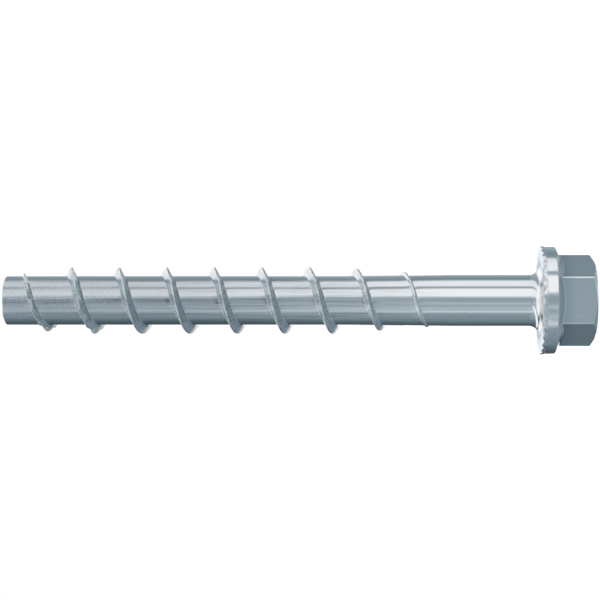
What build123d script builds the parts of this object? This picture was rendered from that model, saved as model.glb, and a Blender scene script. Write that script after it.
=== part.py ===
from build123d import *
from math import atan, cos, degrees, radians, sin, tan
import os

# A concrete screw, forged and rolled from one piece of steel wire, standing on its head.
# Millimetres. The origin is the centre of the head's top face, and +Z runs up the axis to the tip.

# Head
hex_width = 14.9  # across the flats
hex_edge_radius = 0.3  # on the six upright edges
top_circle = 14.1  # diameter of the flat top face
top_slope = 30.0  # degrees, the cone that cuts the six corners
head_height = 10.3  # from the top face to the bearing face under the flange
flange_diameter = 20.2
flange_edge = 2.8  # height of the flange's edge
flange_slope = 26.0  # degrees, the cone from the flange's edge up to the hexagon
rim_chamfer = 0.25  # on the edge of the cone
lip_chamfer = 0.12  # on the edge of the bearing face
lip_width = 0.09  # how far the toothed lip stands out of the edge
lip_height = 0.8  # from the bearing face to the lip's shoulder
lip_slope = 45.0  # degrees, of the shoulder
cone_root = 2.5  # how far the cone goes on inside the hexagon's flats
neck_radius = 2.0  # fillet between the shank and the bearing face

# Locking grooves in the bearing face
groove_count = 30
groove_depth = 0.4  # at the flange's edge
groove_angle = 135.0  # degrees, between the two sides of a groove
groove_land = 0.7  # flat ring left between the neck fillet and the grooves
groove_overrun = 1.0  # how far the groove's cutter starts outside the flange

# Shank
length = 99.8  # from the bearing face to the tip
shank_diameter = 9.6
plain_length = 16.5  # smooth shank below the bearing face
taper_length = 19.5  # where the shank thins to the thread's core
core_diameter = 9.1
tip_chamfer = 0.15

# Thread ridge: one start, right-handed
thread_diameter = 12.45
pitch = 8.9
first_crest = 3.25  # from the tip to where the ridge first crosses the +X side
crest_width = 0.25
foot_width = 1.84  # width of the ridge where it leaves the core
root_depth = 0.6  # how deep the ridge is rooted below the core's surface
full_turn = 0.8  # turns after the first crest where the ridge has its full height
rise_turns = 1.1  # turns that it takes to rise out of the core
sink_turns = 2.35  # turns that it takes to sink into the shank
sink_clearance = 0.6  # from the plain shank to where the crest has sunk
crest_cover = 0.35  # how far the buried ends of the crest go below the surface

# Saw notches in the ridge near the tip
notches_per_turn = 9
notch_turns = 2
first_notch = 48.0  # degrees from the first crest to the step of the first notch
notch_depth = 0.8  # height of the step, from the crest down to the floor
notch_run = 24.0  # degrees from the step to the full crest in front of it
notch_overrun = 0.35  # share of the floor's length that its cutter goes on past the crest

flange_radius = flange_diameter / 2
lip_radius = flange_radius + lip_width
shank_radius = shank_diameter / 2
core_radius = core_diameter / 2
crest_radius = thread_diameter / 2
ridge_height = crest_radius - core_radius
tip_height = head_height + length
plain_end = head_height + plain_length


# Head, flange and shank

with BuildPart() as screw:
    # The hexagon runs down into the flange, and a cone cuts its corners at the top face.
    with BuildSketch() as hexagon:
        RegularPolygon(hex_width / 2, 6, major_radius=False)
        fillet(hexagon.vertices(), hex_edge_radius)
    extrude(amount=head_height - flange_edge / 2)
    cone_radius = hex_width
    cone_drop = (cone_radius - top_circle / 2) * tan(radians(top_slope))
    with BuildSketch(Plane.XZ):
        with BuildLine():
            Polyline(
                (0, 0),
                (top_circle / 2, 0),
                (cone_radius, cone_drop),
                (cone_radius, head_height + cone_drop),
                (0, head_height + cone_drop),
                close=True,
            )
        make_face()
    revolve(axis=Axis.Z, mode=Mode.INTERSECT)

    # The flange, the neck fillet and the shank are one turned profile.
    edge_start = head_height - flange_edge
    cone_foot = hex_width / 2 - cone_root
    cone_rise = (flange_radius - cone_foot) * tan(radians(flange_slope))
    with BuildSketch(Plane.XZ) as turned:
        with BuildLine():
            Polyline(
                (0, edge_start - cone_rise),
                (cone_foot, edge_start - cone_rise),
                (flange_radius, edge_start),
                (flange_radius, head_height - lip_height),
                (lip_radius, head_height - lip_height + lip_width * tan(radians(lip_slope))),
                (lip_radius, head_height),
                (shank_radius, head_height),
                (shank_radius, plain_end),
                (core_radius, plain_end + taper_length),
                (core_radius, tip_height),
                (0, tip_height),
                close=True,
            )
        make_face()
        cone_corner = turned.vertices().sort_by_distance((flange_radius, edge_start))[0]
        chamfer(cone_corner, rim_chamfer)
        lip_corner = turned.vertices().sort_by_distance((lip_radius, head_height))[0]
        chamfer(lip_corner, lip_chamfer)
        neck = turned.vertices().sort_by_distance((shank_radius, head_height))[0]
        fillet(neck, neck_radius)
        tip_corner = turned.vertices().sort_by_distance((core_radius, tip_height))[0]
        chamfer(tip_corner, tip_chamfer)
    revolve(axis=Axis.Z)

# Each locking groove is a V whose bottom line rises to the bearing face on its way in from the edge.
groove_start = shank_radius + neck_radius + groove_land
groove_end = flange_radius + groove_overrun
groove_fall = groove_depth * (groove_end - groove_start) / (flange_radius - groove_start)
groove_half_width = groove_fall * tan(radians(groove_angle / 2))
groove_way = Vector(groove_start - groove_end, 0, groove_fall)
with BuildPart() as groove:
    with BuildSketch(Plane.YZ.offset(groove_end)):
        with BuildLine():
            Polyline(
                (-groove_half_width, head_height),
                (0, head_height - groove_fall),
                (groove_half_width, head_height),
                close=True,
            )
        make_face()
    extrude(amount=groove_way.length, dir=groove_way)


def crest_place(turns):
    """The plane through the axis and the crest, the given number of turns after the first crest.

    Its origin is on the crest, its x points away from the axis and its y up the axis."""
    angle = radians(-360 * turns)
    outward = Vector(cos(angle), sin(angle), 0)
    foot = Vector(0, 0, tip_height - first_crest - pitch * turns)
    return Plane(origin=foot + outward * crest_radius, x_dir=outward, z_dir=(sin(angle), -cos(angle), 0))


def crest_drop(turns):
    """How far the crest has still to rise at this turn near the tip."""
    return ridge_height * max(full_turn - turns, 0) / rise_turns


def ridge_run(start_turn, turns, drop, upwards):
    """One run of the ridge from a place on its full crest, with the crest sinking by drop on the way."""
    start = crest_place(start_turn)
    slant = atan(drop / (turns * pitch))
    axis_plane = Plane(
        origin=start.origin - start.x_dir * crest_radius,
        x_dir=start.x_dir,
        z_dir=(0, 0, 1 if upwards else -1),
    )
    crest = axis_plane * Helix(pitch / cos(slant), turns * pitch, crest_radius, cone_angle=-degrees(slant))
    root_width = foot_width + (foot_width - crest_width) * root_depth / ridge_height
    with BuildPart() as run:
        with BuildSketch(start):
            with BuildLine():
                Polyline(
                    (-ridge_height - root_depth, -root_width / 2),
                    (-ridge_height - root_depth, root_width / 2),
                    (0, crest_width / 2),
                    (0, -crest_width / 2),
                    close=True,
                )
            make_face()
        sweep(path=crest, is_frenet=True)
    return run.part


# The ridge rises out of the core at the tip, runs on at its full height and sinks into the shank.
sunk_turn = (tip_height - first_crest - plain_end - sink_clearance) / pitch
sink_start = sunk_turn - sink_turns
sink_drop = crest_radius - shank_radius
with BuildPart() as ridge:
    add(ridge_run(sink_start, sink_start - full_turn, 0, True))
    add(ridge_run(full_turn, rise_turns * (1 + crest_cover / ridge_height), ridge_height + crest_cover, True))
    split(bisect_by=Plane.XY.offset(tip_height - tip_chamfer - crest_cover), keep=Keep.BOTTOM)
    add(ridge_run(sink_start, sink_turns * (1 + crest_cover / sink_drop), sink_drop + crest_cover, False))

# A saw notch has a steep step and a floor that slants back up to the crest. It reaches across the ridge.
floor_radius = crest_radius - notch_depth
slant_end = Vector(crest_radius, 0).rotate(Axis.Z, notch_run)
slant_way = slant_end - Vector(floor_radius, 0)
with BuildPart() as notch:
    with BuildSketch():
        with BuildLine():
            Polyline(
                (floor_radius, 0),
                (crest_radius + ridge_height, 0),
                slant_end + slant_way * notch_overrun,
                close=True,
            )
        make_face()
    extrude(amount=foot_width + pitch * notch_run / 360, both=True)


def notch_place(angle):
    """Where a notch is cut, this many degrees after the first crest: at the crest, however far it has risen."""
    height = tip_height - first_crest - pitch * angle / 360
    return Pos(0, 0, height) * Rot(0, 0, -angle) * Pos(-crest_drop(angle / 360), 0, 0)


notch_step = 360 / notches_per_turn
notch_angles = [first_notch + notch_step * i for i in range(notch_turns * notches_per_turn)]
with BuildPart() as notched_ridge:
    add(ridge.part)
    with Locations(*[notch_place(angle) for angle in notch_angles]):
        add(notch.part, mode=Mode.SUBTRACT)

# The first groove lies half a step from +X, so that one groove faces -Y.
groove_step = 360 / groove_count
with screw:
    with PolarLocations(0, groove_count, start_angle=groove_step / 2):
        add(groove.part, mode=Mode.SUBTRACT)
    add(notched_ridge.part)

screw.part.label = "screw"
os.makedirs("parts", exist_ok=True)
export_step(screw.part, "parts/screw.step")
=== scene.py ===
# %% [markdown]
# # A zinc-plated concrete screw
# The screw is one piece of steel wire. A press forges its hexagon and flange, and rolls press the thread
# into the shank. It is then plated with zinc. Here it stands on its head, and +Z runs up to the tip.
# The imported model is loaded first, as the frame that the finer screw is fitted to.

# %% Load the frame
from math import atan2, cos, degrees, pi, radians, sin, sqrt, tan

import bmesh
import bpy
import numpy as np
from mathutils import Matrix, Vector


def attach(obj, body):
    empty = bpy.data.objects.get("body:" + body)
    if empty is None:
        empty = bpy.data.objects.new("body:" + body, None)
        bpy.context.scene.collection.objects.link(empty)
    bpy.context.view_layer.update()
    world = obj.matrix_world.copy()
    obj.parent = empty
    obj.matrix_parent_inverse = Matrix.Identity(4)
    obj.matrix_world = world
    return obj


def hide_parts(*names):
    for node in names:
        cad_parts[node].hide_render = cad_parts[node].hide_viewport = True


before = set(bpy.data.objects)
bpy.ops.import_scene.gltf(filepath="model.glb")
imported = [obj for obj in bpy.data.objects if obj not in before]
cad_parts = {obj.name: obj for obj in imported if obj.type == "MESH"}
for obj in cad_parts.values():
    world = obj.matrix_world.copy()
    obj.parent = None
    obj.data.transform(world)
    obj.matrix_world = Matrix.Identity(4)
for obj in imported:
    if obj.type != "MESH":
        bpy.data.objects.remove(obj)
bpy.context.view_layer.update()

# %% [markdown]
# The screw's own sizes come next, in metres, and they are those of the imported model. A learner would
# measure them with a caliper. Every later cell takes its places from these names, so that the finer
# screw lies exactly where the plain one is. The edges that are chamfered there are rounded here.

# %% Sizes of the head
mm = 0.001
hex_width = 14.9 * mm  # across the flats
hex_edge_radius = 0.3 * mm  # on the six upright edges
top_circle = 14.1 * mm  # diameter of the flat top face
top_slope = radians(30)  # of the cone that cuts the six corners
head_height = 10.3 * mm  # from the top face to the bearing face under the flange
flange_radius = 10.1 * mm
flange_edge = 2.8 * mm  # height of the flange's edge
flange_slope = radians(26)  # of the cone from the flange's edge up to the hexagon
rim_round = 0.25 * mm  # on the edge of the cone
cone_root = 2.5 * mm  # how far the cone goes on inside the hexagon's flats
corner_round = 0.25 * mm  # in the corner between the hexagon and the cone
lip_width = 0.088 * mm  # how far the toothed lip stands out of the flange's edge
lip_height = 0.8 * mm  # from the bearing face to the lip's shoulder
lip_round = 0.12 * mm  # on the edge of the bearing face
neck_radius = 2.0 * mm  # fillet between the shank and the bearing face
groove_count = 30
groove_depth = 0.4 * mm  # at the flange's edge
groove_angle = radians(135)  # between the two sides of a groove
groove_land = 0.7 * mm  # flat ring left between the neck fillet and the grooves
scallop_depth = 0.09 * mm  # where a groove goes on down the lip
print("head:", hex_width / mm, "mm across the flats,", 2 * flange_radius / mm, "mm across the flange")

# %% Sizes of the shank and the thread
length = 99.8 * mm  # from the bearing face to the tip
shank_radius = 4.8 * mm
plain_length = 16.5 * mm  # smooth shank below the bearing face
taper_length = 19.5 * mm  # where the shank thins to the thread's core
core_radius = 4.55 * mm
tip_chamfer = 0.15 * mm
tip_height = head_height + length
plain_end = head_height + plain_length
pitch = 8.9 * mm
crest_radius = 6.225 * mm
crest_half = 0.125 * mm  # half the width of the crest
crest_round = 0.1 * mm  # on the two edges of the crest
flank_lean = 0.4746  # how far each flank runs out sideways for each unit down from the crest
root_round = 0.15 * mm  # rounded foot of the ridge
first_crest = 3.25 * mm  # from the tip to where the ridge first crosses the +X side
full_turn = 0.8  # turns after the first crest where the ridge has its full height
rise_turns = 1.1  # turns that it takes to rise out of the core
sink_turns = 2.35  # turns that it takes to sink into the shank
sink_clearance = 0.6 * mm  # from the plain shank to where the crest has sunk
ridge_height = crest_radius - core_radius
sunk_turn = (tip_height - first_crest - plain_end - sink_clearance) / pitch
sink_start = sunk_turn - sink_turns
print("shank: tip at", round(tip_height / mm, 2), "mm, plain up to", round(plain_end / mm, 2), "mm")
print("thread: full from turn", full_turn, "to", round(sink_start, 2), "and gone at", round(sunk_turn, 2))

# %% Sizes of the saw notches
notch_step = 40  # degrees from one notch to the next
notch_count = 18
first_notch = 48  # degrees from the first crest to the step of the first notch
notch_depth = 0.8 * mm  # height of the step, from the crest down to the floor
notch_run = 24  # degrees from the step to the full crest in front of it
step_slant = 0.3  # degrees from the foot of a step to its top
print("notches:", notch_count, "in", notch_count * notch_step / 360, "turns")

# %% [markdown]
# A few small tools are shared by all the steps. Operators act on all that is selected, so each step
# starts by deselecting everything. Points and faces are then chosen by their place, as a hand would do
# with the mouse.

# %% Tools for selecting and drawing
def start_edit(piece, kind="VERT"):
    """Opens one piece in edit mode with nothing selected."""
    bpy.ops.object.select_all(action="DESELECT")
    bpy.context.view_layer.objects.active = piece
    piece.select_set(True)
    bpy.ops.object.mode_set(mode="EDIT")
    bpy.ops.mesh.select_mode(type=kind)
    bpy.ops.mesh.select_all(action="DESELECT")


def end_edit():
    bpy.ops.object.mode_set(mode="OBJECT")


def pick(piece, kind, test):
    """Selects the points, edges or faces that pass the test. Returns how many there are."""
    mesh = bmesh.from_edit_mesh(piece.data)
    chosen = [e for e in getattr(mesh, kind) if test(e)]
    for e in chosen:
        e.select_set(True)
    mesh.select_flush_mode()
    bmesh.update_edit_mesh(piece.data)
    return len(chosen)


def add_modifier(piece, kind, **settings):
    """Adds a modifier, sets it and applies it."""
    bpy.ops.object.select_all(action="DESELECT")
    bpy.context.view_layer.objects.active = piece
    piece.select_set(True)
    modifier = piece.modifiers.new(kind.title(), kind)
    for name, value in settings.items():
        setattr(modifier, name, value)
    bpy.ops.object.modifier_apply(modifier=modifier.name)


def draw_outline(name, points):
    """Draws a line through points (distance from the axis, height), by extruding one after another."""
    bpy.ops.object.select_all(action="DESELECT")
    bpy.ops.mesh.primitive_plane_add(size=mm)
    piece = bpy.context.object
    piece.name = name
    bpy.ops.object.mode_set(mode="EDIT")
    bpy.ops.mesh.select_all(action="SELECT")
    bpy.ops.mesh.merge(type="CENTER")
    bpy.ops.transform.translate(value=(points[0][0], 0, points[0][1]))
    for here, there in zip(points, points[1:]):
        step = (there[0] - here[0], 0, there[1] - here[1])
        bpy.ops.mesh.extrude_region_move(TRANSFORM_OT_translate={"value": step})
    end_edit()
    return piece


def count(piece):
    return f"{len(piece.data.vertices)} points, {len(piece.data.polygons)} faces"


# %% [markdown]
# **The thread.** On the real screw one ridge winds round the core, and its section is the same all the
# way: a slender wedge with a rounded foot. It could be swept along a helix, but here the section of one
# pitch, with the bare core on each side, is drawn once as a line. The Screw modifier winds it up the axis.
# Each turn ends where the next begins, so core and ridge become one sheet with no seam.

# %% Section of the ridge
barrel_steps = 3  # steps along the bare core on each side
root_steps = 4  # round the foot
flank_steps = 5  # up the flank
crest_steps = 6  # across the crest with its two rounded edges
side_steps = barrel_steps + root_steps + flank_steps
columns = 2 * side_steps + crest_steps
root_share = 0.45  # the foot's round is at most this share of the ridge
crest_share = 0.4  # and each round of the crest at most this share


def ridge_section(column, height, top):
    """Place of one column of the sheet: (distance from the crest line, height above the core).

    height is how far the whole wedge stands out, and top is where a notch cuts it off."""
    height = max(height, 0)
    top = min(max(top, 0), height)
    side = -1 if column < columns / 2 else 1
    step = min(column, columns - column)
    foot = crest_half + flank_lean * height
    lean = sqrt(1 + flank_lean ** 2)
    root = min(root_round, root_share * top * lean)
    near = foot + root
    root_top = (foot - root * flank_lean / lean, root / lean)
    edge = min(crest_round if top == height else 0, crest_share * top)
    brow = (crest_half + flank_lean * (height - top + edge), top - edge)
    if step <= barrel_steps:
        out = pitch / 2 + (near - pitch / 2) * step / barrel_steps
        return side * out, 0
    if step <= barrel_steps + root_steps:
        part = (step - barrel_steps) / root_steps
        out = (1 - part) ** 2 * near + 2 * part * (1 - part) * foot + part ** 2 * root_top[0]
        return side * out, part ** 2 * root_top[1]
    if step <= side_steps:
        part = (step - barrel_steps - root_steps) / flank_steps
        out = root_top[0] + part * (brow[0] - root_top[0])
        return side * out, root_top[1] + part * (brow[1] - root_top[1])
    turn = pi / 2 * (1 - (step - side_steps) / (crest_steps / 2))
    return side * brow[0] * sin(turn), brow[1] + edge * cos(turn)


foot_half, _ = ridge_section(barrel_steps, ridge_height, ridge_height)
print("section:", columns + 1, "points, foot", round(-2 * foot_half / mm, 2), "mm wide with its rounds")

# %% Draw one pitch of the thread
turns_below = 10
turns_above = 1
lowest_crest = tip_height - first_crest - pitch * turns_below
section = [ridge_section(column, ridge_height, ridge_height) for column in range(columns + 1)]
thread = draw_outline("thread", [(core_radius + out, lowest_crest + along) for along, out in section])
label = thread.data.attributes.new("column", "INT", "POINT")
upwards = sorted(thread.data.vertices, key=lambda point: point.co.z)
for column, point in enumerate(upwards):
    label.data[point.index].value = column
print("thread section:", count(thread))

# %% Wind the thread round the axis
steps_per_turn = 90
add_modifier(
    thread, "SCREW", axis="Z", angle=2 * pi, screw_offset=pitch, iterations=turns_below + turns_above,
    steps=steps_per_turn, render_steps=steps_per_turn, use_merge_vertices=False,
)
print("wound thread:", count(thread))

# %% [markdown]
# **Rise and run-out.** The real ridge grows out of the core at the tip and sinks into the shank near the
# head, where the shank is also thicker. The sheet's points will be moved for this, like clay, because a
# moved sheet stays whole where cutters would leave slivers. First come three rules that say how wide the
# body is at a height, and how far the crest stands out of it at a turn.

# %% Rules for the body and the crest
def body_radius(height):
    """Radius of the smooth body at this height: shank, taper or core."""
    share = (height - plain_end) / taper_length
    return shank_radius + (core_radius - shank_radius) * min(max(share, 0), 1)


def crest_drop(turn):
    """How far the crest has still to rise at this turn near the tip."""
    return ridge_height * max(0, full_turn - turn) / rise_turns


def ridge_stand(turn):
    """How far the crest stands out of the body at this turn after the first crest."""
    height = tip_height - first_crest - pitch * turn
    sunk = (crest_radius - shank_radius) * max(0, turn - sink_start) / sink_turns
    return crest_radius - crest_drop(turn) - sunk - body_radius(height)


for turn in (0, 1, 9):
    print("ridge: stands out", round(ridge_stand(turn) / mm, 2), "mm at turn", turn)

# %% [markdown]
# **Saw notches.** In its first turns the ridge has saw notches, which cut the concrete. Each is a steep
# step, with a floor that slants back up to the crest. The floor is a straight cut, so its height at an
# angle is found where a ray from the axis crosses a straight line.

# %% Rules for the saw notches
near_enough = 0.01  # degrees


def next_notch(turn):
    """How many degrees ahead the step of the next notch lies, and the number of that notch."""
    ahead = (first_notch - 360 * turn) % notch_step
    return ahead, round((360 * turn + ahead - first_notch) / notch_step)


def notch_height(turn):
    """Height of a notch's floor above the core at this turn, or the full ridge where there is none."""
    ahead, number = next_notch(turn)
    if not (near_enough <= ahead < notch_run and 0 <= number < notch_count):
        return ridge_height
    foot = Vector((crest_radius - notch_depth, 0))
    way = Vector((crest_radius * cos(radians(notch_run)), crest_radius * sin(radians(notch_run)))) - foot
    foot.x -= crest_drop((first_notch + notch_step * number) / 360)
    ray = Vector((cos(radians(ahead)), sin(radians(ahead))))
    return foot.cross(way) / ray.cross(way) - core_radius


deepest = notch_height((first_notch + notch_step * (notch_count - 1) - step_slant) / 360)
print("notch: cut down to", round(deepest / mm, 2), "of", round(ridge_height / mm, 3), "mm above the core")

# %% [markdown]
# Now every point of the sheet goes to its place. It knows its column across the ridge and its turn, and
# these give its new place. One row of points is drawn up to the foot of each notch's step, which makes
# the step steep.

# %% Shape the thread
row_angle = 360 / steps_per_turn
column_of = np.zeros(len(thread.data.vertices), dtype=int)
thread.data.attributes["column"].data.foreach_get("value", column_of)
for point, column in zip(thread.data.vertices, column_of):
    plain_along, _ = ridge_section(column, ridge_height, ridge_height)
    from_first = tip_height - first_crest - (point.co.z - plain_along)
    turn = round(from_first / pitch * steps_per_turn) / steps_per_turn
    ahead, number = next_notch(turn)
    if abs(ahead - row_angle) < near_enough and 0 <= number < notch_count:
        turn += (row_angle - step_slant) / 360
    along, out = ridge_section(column, ridge_stand(turn), notch_height(turn))
    height = tip_height - first_crest - pitch * turn + along
    angle = radians(-360 * turn)
    radius = body_radius(height) + out
    point.co = (radius * cos(angle), radius * sin(angle), height)
thread.data.update()
start_edit(thread)
bpy.ops.mesh.select_all(action="SELECT")
bpy.ops.mesh.remove_doubles(threshold=0.0002 * mm)
end_edit()
widest = max(point.co.xy.length for point in thread.data.vertices)
print("shaped thread: widest point", round(widest / mm, 3), "mm from the axis")

# %% [markdown]
# **The tip.** The wire is cut off square, and its edge is lightly chamfered. The sheet is bisected just
# below the tip, and the open edge is extruded inwards for the chamfer and then for the end face. The
# lower end of the sheet is bisected too, in the smooth shank, where the head will join it.

# %% Cut the sheet to length
shank_cut = 24 * mm
fine = 0.0001 * mm
rim_height = tip_height - tip_chamfer
start_edit(thread)
bpy.ops.mesh.select_all(action="SELECT")
bpy.ops.mesh.bisect(plane_co=(0, 0, rim_height), plane_no=(0, 0, 1), clear_outer=True, threshold=fine)
bpy.ops.mesh.select_all(action="SELECT")
bpy.ops.mesh.bisect(plane_co=(0, 0, shank_cut), plane_no=(0, 0, 1), clear_inner=True, threshold=fine)
end_edit()
print("cut thread:", count(thread))

# %% Close the tip
rim_share = (core_radius - tip_chamfer) / core_radius
start_edit(thread, "EDGE")
rim_edges = pick(thread, "edges", lambda e: e.is_boundary and all(v.co.z > tip_height / 2 for v in e.verts))
bpy.ops.mesh.extrude_region_move(TRANSFORM_OT_translate={"value": (0, 0, tip_chamfer)})
bpy.ops.transform.resize(value=(rim_share, rim_share, 1), center_override=(0, 0, tip_height))
for ring_share in (0.6, 0.3):
    bpy.ops.mesh.extrude_region_move()
    bpy.ops.transform.resize(value=(ring_share, ring_share, 1), center_override=(0, 0, tip_height))
bpy.ops.mesh.edge_face_add()
bpy.ops.mesh.select_all(action="SELECT")
bpy.ops.mesh.normals_make_consistent(inside=False)
end_edit()
print("tip:", rim_edges, "edges round the rim;", count(thread))

# %% [markdown]
# **The hexagon.** A six-sided bar is the start. Its upright edges are a little round, because a die
# pressed them. Its six corners are cut by a flat cone at the top face. A cone-shaped tool that keeps
# only what is inside it leaves the curved line on each flat, as on the real head.

# %% Press the hexagon
corner_radius = hex_width / 2 / cos(radians(30))
bpy.ops.object.select_all(action="DESELECT")
bpy.ops.mesh.primitive_circle_add(
    vertices=6, radius=corner_radius, fill_type="NGON", rotation=(0, 0, radians(30)),
)
head = bpy.context.object
head.name = "screw_body"
bpy.ops.object.transform_apply(location=True, rotation=True, scale=True)
start_edit(head)
bpy.ops.mesh.select_all(action="SELECT")
bpy.ops.mesh.bevel(offset=hex_edge_radius * tan(radians(30)), segments=6, affect="VERTICES")
bpy.ops.mesh.select_all(action="SELECT")
bpy.ops.mesh.extrude_region_move(TRANSFORM_OT_translate={"value": (0, 0, head_height - flange_edge / 2)})
bpy.ops.mesh.select_all(action="SELECT")
bpy.ops.mesh.normals_make_consistent(inside=False)
end_edit()
print("hexagon:", count(head), "corner at x", round(max(v.co.x for v in head.data.vertices) / mm, 3))

# %% Cut its corners with a cone
below = 1 * mm  # the cone starts this far under the top face
cone_start = top_circle / 2 - below / tan(top_slope)
cone_wide = 12 * mm  # and ends outside the corners
bpy.ops.object.select_all(action="DESELECT")
bpy.ops.mesh.primitive_circle_add(vertices=180, radius=cone_start, fill_type="NGON", location=(0, 0, -below))
cone = bpy.context.object
cone.name = "corner_cone"
bpy.ops.object.transform_apply(location=True, rotation=True, scale=True)
start_edit(cone)
bpy.ops.mesh.select_all(action="SELECT")
rise = (cone_wide - cone_start) * tan(top_slope)
bpy.ops.mesh.extrude_region_move(TRANSFORM_OT_translate={"value": (0, 0, rise)})
wider = cone_wide / cone_start
bpy.ops.transform.resize(value=(wider, wider, 1), center_override=(0, 0, 0))
bpy.ops.mesh.extrude_region_move(TRANSFORM_OT_translate={"value": (0, 0, head_height)})
bpy.ops.mesh.select_all(action="SELECT")
bpy.ops.mesh.normals_make_consistent(inside=False)
end_edit()
add_modifier(head, "BOOLEAN", operation="INTERSECT", solver="EXACT", object=cone)
bpy.data.objects.remove(cone)
print("cut hexagon:", count(head))

# %% [markdown]
# **Flange, neck and smooth shank.** These are round, so half of their outline is drawn and wound once
# round the axis. The two edges of the flange and the neck are small arcs. The rows of points are dense
# near the flange's edge, because the grooves are pressed there next.

# %% Outline of the flange and the neck
def arc(centre, radius, start, end, steps):
    """Points of an arc in the outline, from one angle to the other in degrees."""
    angles = [radians(start + (end - start) * i / steps) for i in range(steps + 1)]
    return [(centre[0] + radius * cos(a), centre[1] + radius * sin(a)) for a in angles]


edge_start = head_height - flange_edge
cone_foot = hex_width / 2 - cone_root
cone_base = edge_start - (flange_radius - cone_foot) * tan(flange_slope)
groove_start = shank_radius + neck_radius + groove_land
inner_rim = flange_radius - rim_round
lip_radius = flange_radius + lip_width
lip_inner = lip_radius - lip_round
lean_angle = degrees(flange_slope) - 90
setback = rim_round * tan(radians((90 - degrees(flange_slope)) / 2))
bearing_steps = 5
outline = [(0, cone_base), (cone_foot, cone_base)]
outline += arc((inner_rim, edge_start + setback), rim_round, lean_angle, 0, 4)
outline += [(flange_radius, head_height - lip_height)]
outline += [(lip_radius, head_height - lip_height + lip_width), (lip_radius, head_height - lip_height / 2)]
outline += arc((lip_inner, head_height - lip_round), lip_round, 0, 90, 4)
for i in range(1, bearing_steps + 1):
    outline += [(lip_inner + (groove_start - lip_inner) * i / bearing_steps, head_height)]
outline += arc((shank_radius + neck_radius, head_height + neck_radius), neck_radius, 270, 180, 10)
outline += [(shank_radius, shank_cut), (0, shank_cut)]
print("outline:", len(outline), "points, widest", round(max(out for out, _ in outline) / mm, 3), "mm")

# %% Turn the flange and the neck
flange_steps = 12 * groove_count
flange = draw_outline("flange", outline)
add_modifier(
    flange, "SCREW", axis="Z", angle=2 * pi, screw_offset=0, iterations=1,
    steps=flange_steps, render_steps=flange_steps, use_merge_vertices=False,
)
start_edit(flange)
bpy.ops.mesh.select_all(action="SELECT")
bpy.ops.mesh.remove_doubles(threshold=0.0005 * mm)
bpy.ops.mesh.normals_make_consistent(inside=False)
end_edit()
print("flange and neck:", count(flange))

# %% [markdown]
# **Locking grooves.** Thirty shallow V grooves in the bearing face bite into the bracket and stop the
# screw from turning back. Each runs out from near the neck and is deepest at the flange's edge. There it
# goes on down the lip as a shallow scallop, which makes the lip wavy. The points above a groove's sides
# are pressed down onto them, and those of the lip are pressed inwards.

# %% Press the locking grooves
groove_turn = 360 / groove_count
lip_start = flange_radius + 0.01 * mm
for point in flange.data.vertices:
    radius = point.co.xy.length
    if radius < groove_start or point.co.z < edge_start + rim_round:
        continue
    angle = (degrees(atan2(point.co.y, point.co.x)) + groove_turn / 2) % groove_turn
    beside = radius * sin(radians(min(angle, groove_turn - angle)))
    if radius > lip_start:
        press = 1 - scallop_depth * (0.5 + 0.5 * cos(radians(angle * groove_count))) / radius
        point.co.x *= press
        point.co.y *= press
    bottom = groove_depth * (radius - groove_start) / (flange_radius - groove_start)
    side = head_height - bottom + beside / tan(groove_angle / 2)
    point.co.z = min(point.co.z, side)
flange.data.update()
print("grooves:", groove_count, "of", round(groove_depth / mm, 2), "mm at the edge")

# %% [markdown]
# **One piece.** Forged steel has no joint between hexagon and flange, so the two are united. The closing
# disc in the shank is taken out, and its edge is bridged to the open end of the thread. The result is
# one closed skin.

# %% Unite the head with the shank
level_with = 0.001 * mm
add_modifier(head, "BOOLEAN", operation="UNION", solver="EXACT", object=flange)
bpy.data.objects.remove(flange)
start_edit(head, "FACE")
pick(head, "faces", lambda f: all(abs(v.co.z - shank_cut) < level_with for v in f.verts))
bpy.ops.mesh.delete(type="FACE")
bpy.ops.mesh.select_mode(type="VERT")
loose = pick(head, "verts", lambda v: not v.link_faces)
bpy.ops.mesh.delete(type="VERT")
end_edit()
bpy.ops.object.select_all(action="DESELECT")
thread.select_set(True)
head.select_set(True)
bpy.context.view_layer.objects.active = head
bpy.ops.object.join()
start_edit(head, "EDGE")
open_edges = pick(head, "edges", lambda e: e.is_boundary)
bpy.ops.mesh.bridge_edge_loops()
bpy.ops.mesh.select_all(action="SELECT")
bpy.ops.mesh.normals_make_consistent(inside=False)
end_edit()
print("united:", count(head), "bridged over", open_edges, "edges, stray points removed", loose)

# %% [markdown]
# **The inner corner.** A forging die can't leave a sharp inner corner, so the hexagon meets the flange's
# cone in a small round. A fillet could be drawn in the outline, but the flats aren't round. A bevel on the
# united skin follows them. Its edges are those with a steep face on one side and the cone on the other.

# %% Round the corner between hexagon and flange
cone_end = edge_start - 0.3 * mm  # just inside the rounded edge of the flange
on_the_cone = -0.8  # the cone's normals point towards the head's top face
on_the_side = -0.05  # and those of the hexagon's sides are level


def in_corner(edge):
    """An edge between the hexagon's side and the flange's cone."""
    if len(edge.link_faces) != 2:
        return False
    slants = [face.normal.z for face in edge.link_faces]
    within = all(cone_base < v.co.z < cone_end for v in edge.verts)
    return within and min(slants) < on_the_cone and max(slants) > on_the_side


start_edit(head, "EDGE")
corner_edges = pick(head, "edges", in_corner)
bpy.ops.mesh.bevel(offset=corner_round, segments=3, affect="EDGES")
end_edit()
print("corner:", corner_edges, "edges rounded;", count(head))

# %% [markdown]
# **Smooth and crisp.** Rolled and turned faces shine smoothly, while edges that a die or a cutter left
# stay crisp. Smoothing by angle does both. The flats of the hexagon are so large and flat that their own
# edges are marked as sharp first, or the light would bend near their rounds.

# %% Shade it smooth, with crisp edges
big_flat = 10 * mm * mm
crisp_angle = radians(28)


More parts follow.
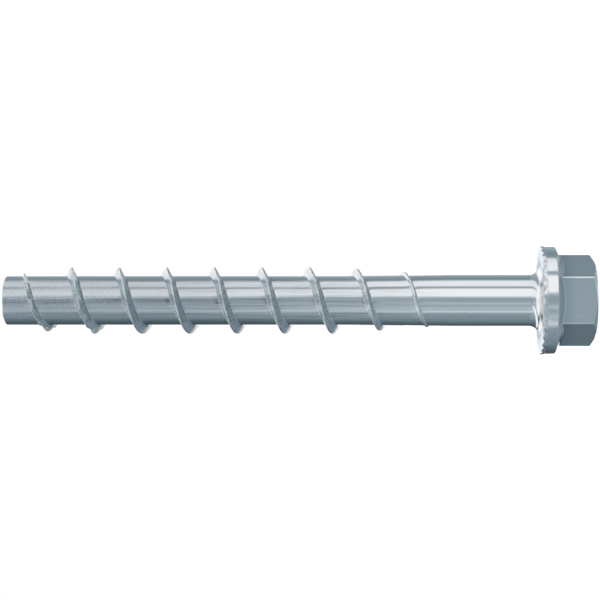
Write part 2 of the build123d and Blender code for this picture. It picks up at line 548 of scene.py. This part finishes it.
def round_a_flat(edge):
    """An edge of one of the big upright flats, apart from those that meet a small level face."""
    upright = any(f.calc_area() > big_flat and abs(f.normal.z) < 0.01 for f in edge.link_faces)
    level = any(f.calc_area() < big_flat and abs(f.normal.z) > 0.99 for f in edge.link_faces)
    return upright and not level


start_edit(head, "EDGE")
flat_edges = pick(head, "edges", round_a_flat)
bpy.ops.mesh.mark_sharp()
end_edit()
bpy.ops.object.select_all(action="DESELECT")
head.select_set(True)
bpy.context.view_layer.objects.active = head
bpy.ops.object.shade_smooth_by_angle(angle=crisp_angle, keep_sharp_edges=True)
print("shading:", flat_edges, "edges of the flats are kept sharp")

# %% Measure the finished skin
skin = bmesh.new()
skin.from_mesh(head.data)
print("closed:", all(edge.is_manifold for edge in skin.edges))
print("volume in mm3:", round(skin.calc_volume() / mm ** 3, 1))
print("triangles:", sum(len(face.verts) - 2 for face in skin.faces))
skin.free()

# %% [markdown]
# **Zinc plating.** Plated steel mirrors the room softly, with a cool blue-grey tint. The shank is drawn
# lengthwise, so its marks are long fine streaks. The rolled thread is duller, and the first turns at the
# tip are mottled. The marks could be painted, but noise that is stretched along the axis gives them on
# every side and at the right scale. A few helpers add the nodes, so that each later line reads as one
# thought.

# %% Tools for the zinc's nodes
zinc = bpy.data.materials.new("zinc_steel")
zinc.use_nodes = True
nodes, links = zinc.node_tree.nodes, zinc.node_tree.links
shader = nodes["Principled BSDF"]
shader.inputs["Metallic"].default_value = 1.0
place = nodes.new("ShaderNodeTexCoord")


def scale_between(source, low, high, start=0.0, end=1.0):
    """Turns a value that runs from low to high softly into one that runs from start to end."""
    node = nodes.new("ShaderNodeMapRange")
    node.interpolation_type = "SMOOTHSTEP"
    for name, value in zip(("From Min", "From Max", "To Min", "To Max"), (low, high, start, end)):
        node.inputs[name].default_value = value
    links.new(source, node.inputs["Value"])
    return node.outputs["Result"]


def reckon(operation, first, second):
    """Adds, subtracts or multiplies two values. Each of them is a socket or a number."""
    node = nodes.new("ShaderNodeMath")
    node.operation = operation
    for socket, value in zip(node.inputs, (first, second)):
        if isinstance(value, (int, float)):
            socket.default_value = value
        else:
            links.new(value, socket)
    return node.outputs[0]


def plus(first, second):
    return reckon("ADD", first, second)


def times(first, second):
    return reckon("MULTIPLY", first, second)


def grain(across, along, detail):
    """Noise with cells of this size in metres, across the screw and along it."""
    mapping = nodes.new("ShaderNodeMapping")
    mapping.inputs["Scale"].default_value = (1 / across, 1 / across, 1 / along)
    links.new(place.outputs["Object"], mapping.inputs["Vector"])
    noise = nodes.new("ShaderNodeTexNoise")
    noise.inputs["Scale"].default_value = 1.0
    noise.inputs["Detail"].default_value = detail
    links.new(mapping.outputs[0], noise.inputs["Vector"])
    return noise.outputs["Fac"]


def blend(first, second, factor):
    """Mixes two colours. Each of them is a socket or a colour."""
    node = nodes.new("ShaderNodeMix")
    node.data_type = "RGBA"
    links.new(factor, node.inputs["Factor"])
    for socket, value in ((node.inputs["A"], first), (node.inputs["B"], second)):
        if isinstance(value, tuple):
            socket.default_value = (*value, 1)
        else:
            links.new(value, socket)
    return node.outputs["Result"]


print("zinc: starts with", len(nodes), "nodes")

# %% Height, distance from the axis and four grains
split = nodes.new("ShaderNodeSeparateXYZ")
links.new(place.outputs["Object"], split.inputs[0])
height = split.outputs["Z"]
flat_place = nodes.new("ShaderNodeCombineXYZ")
links.new(split.outputs["X"], flat_place.inputs["X"])
links.new(split.outputs["Y"], flat_place.inputs["Y"])
measure = nodes.new("ShaderNodeVectorMath")
measure.operation = "LENGTH"
links.new(flat_place.outputs[0], measure.inputs[0])
from_axis = measure.outputs["Value"]

drawn = grain(0.28 * mm, 16 * mm, 4.0)
broad = grain(0.7 * mm, 26 * mm, 2.0)
speck = grain(0.22 * mm, 0.3 * mm, 3.0)
cloud = grain(3.0 * mm, 6.0 * mm, 2.0)
print("zinc: drawn and broad streaks, specks and clouds make", len(nodes), "nodes")

# %% [markdown]
# The zinc differs from place to place, and one corner gets painted shade, so a few soft masks say where each
# look lies. They are made from the height and the distance from the axis alone, which never fails on the
# back. Painted masks would need an unwrapped skin.

# %% Where each look lies
# The rolled part begins where the ridge runs out, and the zinc is duller from there to the tip.
rolled = scale_between(height, 24 * mm, 46 * mm)
# The thread's colour grows darker towards the tip.
darker_to_tip = scale_between(height, 30 * mm, 92 * mm)
# The mottled first turns at the tip end in an uneven line.
mottled = scale_between(plus(height, times(cloud, 12 * mm)), 84 * mm, 98 * mm)
# The ridge is all that stands out of the body.
ridge = times(scale_between(from_axis, 4.8 * mm, 5.2 * mm), scale_between(height, 27 * mm, 28 * mm))
# The grooved ring reaches from the neck to the lip.
near_bearing = scale_between(height, head_height - 1.0 * mm, head_height - 0.8 * mm)
in_grooves = times(scale_between(from_axis, 7.2 * mm, 7.6 * mm), near_bearing)
# Painted shade lies at the foot of the hexagon and on the cone beside it, which mirror each other.
corner_shade = times(scale_between(height, 3.5 * mm, 6.8 * mm), scale_between(height, 7.4 * mm, 7.7 * mm, 1, 0))
# Streaks and specks are the grains with more contrast, and the streaks are deeper where it is rolled.
streaks = scale_between(plus(drawn, times(broad, 0.5)), 0.62, 0.84)
streak_depth = plus(0.05, times(rolled, 0.42))
specks = scale_between(speck, 0.36, 0.64)
print("zinc: with the masks it has", len(nodes), "nodes")

# %% [markdown]
# ** Colour.** The head and the smooth shank have the brightest skin. Thin coats of other greys are laid over it, each as far as its mask says: the thread is darker towards the tip, its ridge stays bright, the corner at the foot of the hexagon gets painted shade, and the streaks are dark lines.

# %% Colour of the zinc
colour = (0.77, 0.79, 0.805)  # the bright skin
coats = [
    ((0.535, 0.572, 0.60), darker_to_tip),
    ((0.76, 0.80, 0.82), times(ridge, 0.85)),
    # painted shade: a darker grey where the hexagon meets the flange's cone
    ((0.59, 0.64, 0.68), corner_shade),
    ((0.30, 0.34, 0.37), times(streak_depth, reckon("SUBTRACT", 1.0, streaks))),
    ((0.60, 0.66, 0.72), times(cloud, 0.16)),
    ((0.74, 0.78, 0.80), times(times(mottled, 0.35), specks)),
]
for coat, strength in coats:
    colour = blend(colour, coat, strength)
links.new(colour, shader.inputs["Base Color"])
print("zinc:", len(coats), "coats over the bright skin")

# %% [markdown]
# **Gloss and relief.** Roughness says how blurred the mirrored lamps are: little on the drawn shank, more
# on the ridge, in the grooves and where the tip is mottled. The streaks and specks are far too shallow to
# model, so a bump of a hundredth of a millimetre stands for them.

# %% Roughness and fine relief of the zinc
rough = 0.115  # of the bright skin
dulled = [
    (rolled, 0.015),
    (mottled, 0.03),
    (streaks, times(streak_depth, 0.15)),
    (times(mottled, specks), 0.08),
    (in_grooves, 0.16),
    (ridge, 0.14),
]
for where, amount in dulled:
    rough = plus(rough, times(where, amount))
links.new(rough, shader.inputs["Roughness"])

drawn_marks = times(drawn, plus(0.25, times(rolled, 0.75)))
pitted = times(plus(mottled, times(in_grooves, 2.0)), speck)
bump = nodes.new("ShaderNodeBump")
bump.inputs["Strength"].default_value = 0.35
bump.inputs["Distance"].default_value = 0.01 * mm
links.new(plus(drawn_marks, pitted), bump.inputs["Height"])
links.new(bump.outputs["Normal"], shader.inputs["Normal"])
print("zinc:", len(dulled), "terms of roughness and a bump,", len(nodes), "nodes in all")

# %% [markdown]
# **Its place in the frame.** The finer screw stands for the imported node, and it rides on the only body.
# The column labels have done their work and are taken off, so that the mesh carries nothing unused.

# %% Give the screw its finish and its place in the frame
head.data.materials.clear()
head.data.materials.append(zinc)
head.data.attributes.remove(head.data.attributes["column"])
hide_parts("screw")
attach(head, "root")
print("screw_body rides on root")

# %% [markdown]
# **Floor.** A plain pale floor lies under the head. It glows a little, so that it stays as white as the
# background, and the screw's mirror skin doesn't show it.

# %% Lay the floor
floor_radius = 3
bpy.ops.object.select_all(action="DESELECT")
bpy.ops.mesh.primitive_circle_add(vertices=64, radius=floor_radius, fill_type="NGON")
floor = bpy.context.object
floor.name = "floor"
paper = bpy.data.materials.new("floor_paper")
paper.use_nodes = True
paper_shader = paper.node_tree.nodes["Principled BSDF"]
paper_shader.inputs["Base Color"].default_value = (0.8, 0.8, 0.8, 1)
paper_shader.inputs["Roughness"].default_value = 1.0
paper_shader.inputs["Specular IOR Level"].default_value = 0.0
paper_shader.inputs["Emission Color"].default_value = (1, 1, 1, 1)
paper_shader.inputs["Emission Strength"].default_value = 0.8
floor.data.materials.append(paper)
floor.visible_glossy = False
print("floor: a disc of", floor_radius, "m")

# %% [markdown]
# **Light.** A mirror skin shows the room, so the look of the screw is the look of its room. Lamps could
# be hung as objects, but a sky that gives each direction its brightness is easier to tune and has less
# noise. Its helpers come first. In the sky, +X is above the screw in the picture, +Z is to the left, beyond
# the tip, and -Y is the camera's side.

# %% Tools for the sky's nodes
world = bpy.data.worlds.new("studio")
bpy.context.scene.world = world
world.use_nodes = True
sky, wire = world.node_tree.nodes, world.node_tree.links
sky.clear()
room_tint = Vector((0.75, 1.0, 1.15))
lamp_tint = Vector((1.0, 0.99, 0.99))
room_level = 0.2  # up to this brightness a direction has the room's tint
lamp_step = 0.9  # and this much brighter it has the lamps'


def sky_node(kind, **settings):
    node = sky.new(kind)
    for name, value in settings.items():
        setattr(node, name, value)
    return node


def light_colour(level):
    """The lamps are white. The room between them is darker and bluer."""
    share = min(max((level - room_level) / lamp_step, 0), 1)
    return (*(level * (room_tint + share * (lamp_tint - room_tint))), 1)


def ramp_up(source, low, high, full=1.0):
    """A soft switch: 0 below the low value and full above the high one."""
    node = sky_node("ShaderNodeMapRange", interpolation_type="SMOOTHSTEP")
    for name, value in (("From Min", low), ("From Max", high), ("To Max", full)):
        node.inputs[name].default_value = value
    wire.new(source, node.inputs["Value"])
    return node.outputs["Result"]


def ramp_down(source, low, high):
    """A soft switch: 1 below the low value and 0 above the high one."""
    node = sky_node("ShaderNodeMath", operation="SUBTRACT")
    node.inputs[0].default_value = 1
    wire.new(ramp_up(source, low, high), node.inputs[1])
    return node.outputs[0]


def both(first, second):
    """Where two soft switches are on together."""
    node = sky_node("ShaderNodeMath", operation="MULTIPLY")
    wire.new(first, node.inputs[0])
    wire.new(second, node.inputs[1])
    return node.outputs[0]


look = sky_node("ShaderNodeTexCoord")
parts = sky_node("ShaderNodeSeparateXYZ")
wire.new(look.outputs["Generated"], parts.inputs[0])
above = parts.outputs["X"]
away = parts.outputs["Y"]
to_tip = parts.outputs["Z"]


def facing(centre, inner, outer):
    """A soft switch for one direction: on within the inner angle and off at the outer, in degrees."""
    node = sky_node("ShaderNodeVectorMath", operation="DOT_PRODUCT")
    wire.new(look.outputs["Generated"], node.inputs[0])
    node.inputs[1].default_value = Vector(centre).normalized()
    return ramp_up(node.outputs["Value"], cos(radians(outer)), cos(radians(inner)))


print("sky: the room's colour is", [round(part, 2) for part in light_colour(room_level)[:3]])

# %% [markdown]
# The photograph shows long bands on the round shank: the reflections of long strip lights that lie along
# the screw. The same bands cross the flange's edge, and each flat of the hexagon mirrors one direction. So
# the first light is a ramp of brightness by the direction round the screw's axis. 0 degrees is the camera's
# side, and positive angles are above the screw.

# %% Strip lights along the screw
towards = sky_node("ShaderNodeMath", operation="MULTIPLY")
towards.inputs[1].default_value = -1
wire.new(away, towards.inputs[0])
round_angle = sky_node("ShaderNodeMath", operation="ARCTAN2")
wire.new(above, round_angle.inputs[0])
wire.new(towards.outputs[0], round_angle.inputs[1])
turned = sky_node("ShaderNodeMapRange")
turned.inputs["From Min"].default_value = -pi
turned.inputs["From Max"].default_value = pi
wire.new(round_angle.outputs[0], turned.inputs["Value"])
ramp = sky_node("ShaderNodeValToRGB")
wire.new(turned.outputs[0], ramp.inputs[0])
light_round_axis = [
    (-169, 0.62), (-164, 0.13), (-140, 0.11), (-119, 0.20), (-105, 0.28), (-90, 0.32), (-61, 0.38),
    (-51, 0.84), (-44, 0.54), (-32, 0.60), (-23, 0.42), (-14, 0.65), (-7, 0.45), (9, 0.40), (16, 0.7),
    (20, 1.14), (53, 1.14), (57, 0.46), (64, 0.44), (70, 1.1), (98, 1.0), (106, 0.36), (120, 0.31),
    (140, 0.42), (164, 0.52), (169, 0.62),
]
while len(ramp.color_ramp.elements) > 1:
    ramp.color_ramp.elements.remove(ramp.color_ramp.elements[0])
for i, (angle, level) in enumerate(light_round_axis):
    where = (angle + 180) / 360
    stop = ramp.color_ramp.elements[0] if i == 0 else ramp.color_ramp.elements.new(where)
    stop.position = where
    stop.color = light_colour(level)
print("sky: a ramp of", len(ramp.color_ramp.elements), "stops round the axis")

# %% [markdown]
# The ridge, the neck and the cones slope along the axis too, so they mirror what lies towards the two
# ends. A faint glow lightens the tip's half of the room, apart from low behind the screw. The room beyond
# the head is dim, and beyond the tip it is bright. A strip below the screw slants across it, and a small
# dark screen beside the camera darkens the middle of the core near the tip.

# %% Glow, room ends, slanting strip and screen
slant = sky_node("ShaderNodeMath", operation="ADD")
wire.new(above, slant.inputs[0])
wire.new(to_tip, slant.inputs[1])
off_strip = sky_node("ShaderNodeMath", operation="ABSOLUTE")
wire.new(slant.outputs[0], off_strip.inputs[0])
glow = both(ramp_up(to_tip, -0.02, 0.06, 0.15), facing((0.5, -0.87, 0), 113, 135))
beyond_head = ramp_down(to_tip, -0.6, -0.4)
beyond_tip = ramp_up(to_tip, 0.78, 0.93)
cross_strip = both(ramp_down(off_strip.outputs[0], 0.1, 0.24), ramp_down(above, -0.5, -0.35))
near_tip = both(ramp_up(to_tip, 0.13, 0.18), ramp_down(to_tip, 0.21, 0.24))
screen = both(near_tip, facing((-0.1, -0.97, 0.19), 9, 14))
wide_lights = [(0.9, glow), (0.5, beyond_head), (1.2, beyond_tip), (1.2, cross_strip), (0.1, screen)]
print("sky:", len(wide_lights), "wide lights and screens")

# %% [markdown]
# Six round panels stand behind the screw, towards its two ends. Faces that look towards the tip, such as
# the bearing face, mirror the one on the tip's side. Those that look towards the head mirror the others:
# the flange's cone, the cut corners and the head's side of the ridge. A panel is a brightness, a direction,
# and the angles from its centre where it is full and where it is gone.

# %% Round panels
panels = [
    (1.2, (0.08, 0.80, 0.59), 20, 31),
    (0.3, (-0.2, 0.66, -0.72), 14, 22),
    (0.3, (0, 0.97, -0.24), 10, 14),
    (0.27, (-0.12, 0.88, -0.45), 10, 14),
    (1.3, (-0.24, 0.94, -0.24), 7, 11),
    (0.8, (0.2, 0.45, -0.87), 12, 18),
]


def lay_over(under, level, factor):
    """Lays a light of one brightness over what is there, as far as the factor says."""
    node = sky_node("ShaderNodeMix", data_type="RGBA")
    wire.new(factor, node.inputs["Factor"])
    wire.new(under, node.inputs["A"])
    node.inputs["B"].default_value = light_colour(level)
    return node.outputs["Result"]


shade = ramp.outputs[0]
for level, where in wide_lights:
    shade = lay_over(shade, level, where)
for level, centre, inner, outer in panels:
    shade = lay_over(shade, level, facing(centre, inner, outer))
print("sky:", len(panels), "round panels")

# %% [markdown]
# The background of the photograph is plain white, and the lamps don't show in it. So the camera sees
# white, and only the screw mirrors the sky.

# %% White background
studio = sky_node("ShaderNodeBackground")
wire.new(shade, studio.inputs["Color"])
plain_white = sky_node("ShaderNodeBackground")
plain_white.inputs["Color"].default_value = (1, 1, 1, 1)
rays = sky_node("ShaderNodeLightPath")
mix = sky_node("ShaderNodeMixShader")
wire.new(rays.outputs["Is Camera Ray"], mix.inputs[0])
wire.new(studio.outputs[0], mix.inputs[1])
wire.new(plain_white.outputs[0], mix.inputs[2])
output = sky_node("ShaderNodeOutputWorld")
wire.new(mix.outputs[0], output.inputs["Surface"])
print("sky:", len(sky), "nodes in all")

# %% [markdown]
# **Camera.** The photograph looks square at the shank. The thread's spacing is even from end to end, so
# nothing is tilted. The picture is turned so that the tip points left, and its centre is off the
# camera's axis, as when a wide picture is cropped. Its pixels are counted in columns from the left edge.

# %% Set the camera
pixel = 0.1875 * mm  # at the screw's axis
picture_size = 600  # pixels each way
head_column = 594.05  # of the head's top face
facing_column = 383  # that the camera looks at squarely
axis_offset = 0.45  # pixels from the picture's middle to the screw's axis
distance = 1780 * pixel
camera_height = (head_column - facing_column) * pixel
film_width = 36  # millimetres, as lenses are counted
camera_data = bpy.data.cameras.new("camera")
camera = bpy.data.objects.new("camera", camera_data)
bpy.context.scene.collection.objects.link(camera)
camera_data.sensor_width = film_width
camera_data.lens = film_width * distance / (picture_size * pixel)
camera_data.shift_x = (picture_size / 2 - facing_column) / picture_size
camera_data.shift_y = axis_offset / picture_size
camera_data.clip_start = 0.01
camera_data.clip_end = 20
camera.location = (0, -distance, camera_height)
camera.rotation_euler = (radians(90), radians(90), 0)
bpy.context.scene.camera = camera
bpy.context.scene.view_settings.view_transform = "Standard"
print("camera:", round(distance / mm, 1), "mm away, lens", round(camera_data.lens, 1), "mm")
